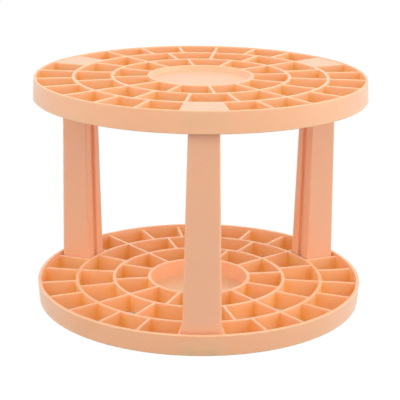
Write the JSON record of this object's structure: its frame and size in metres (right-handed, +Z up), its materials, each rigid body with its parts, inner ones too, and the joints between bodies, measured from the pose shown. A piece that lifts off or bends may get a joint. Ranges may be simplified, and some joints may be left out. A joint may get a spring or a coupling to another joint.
{
  "type": "brush and pencil holder",
  "caption": "Round knock-down desk holder: two racks of through cells on tapered channel posts keep brushes and pencils upright.",
  "frame": {"origin": "centre of the lower rack's rim on the plane it stands on", "axes": "+Z up, along the axis of both racks; the front post stands at -Y"},
  "size_m": [0.155, 0.155, 0.1077],
  "materials": {
    "rack_plastic": "peach polypropylene, fine satin, slightly translucent",
    "post_plastic": "the same peach polypropylene in thicker section"
  },
  "bodies": {
    "lower_rack": {"lower_rack": "rack_plastic"},
    "post_front": {"post_front": "post_plastic"},
    "post_right": {"post_right": "post_plastic"},
    "post_left": {"post_left": "post_plastic"},
    "upper_rack": {"upper_rack": "rack_plastic"}
  },
  "joints": [
    {"name": "post_front_lift", "type": "slide", "parent": "lower_rack", "child": "post_front", "axis": [0, 0, 1], "range_m": [0, 0.03]},
    {"name": "post_right_lift", "type": "slide", "parent": "lower_rack", "child": "post_right", "axis": [0, 0, 1], "range_m": [0, 0.03]},
    {"name": "post_left_lift", "type": "slide", "parent": "lower_rack", "child": "post_left", "axis": [0, 0, 1], "range_m": [0, 0.03]},
    {"name": "upper_rack_lift", "type": "slide", "parent": "post_front", "child": "upper_rack", "axis": [0, 0, 1], "range_m": [0, 0.03]}
  ],
  "couplings": [
    {"joint": "post_right_lift", "follows": "post_front_lift", "ratio": 1},
    {"joint": "post_left_lift", "follows": "post_front_lift", "ratio": 1}
  ]
}
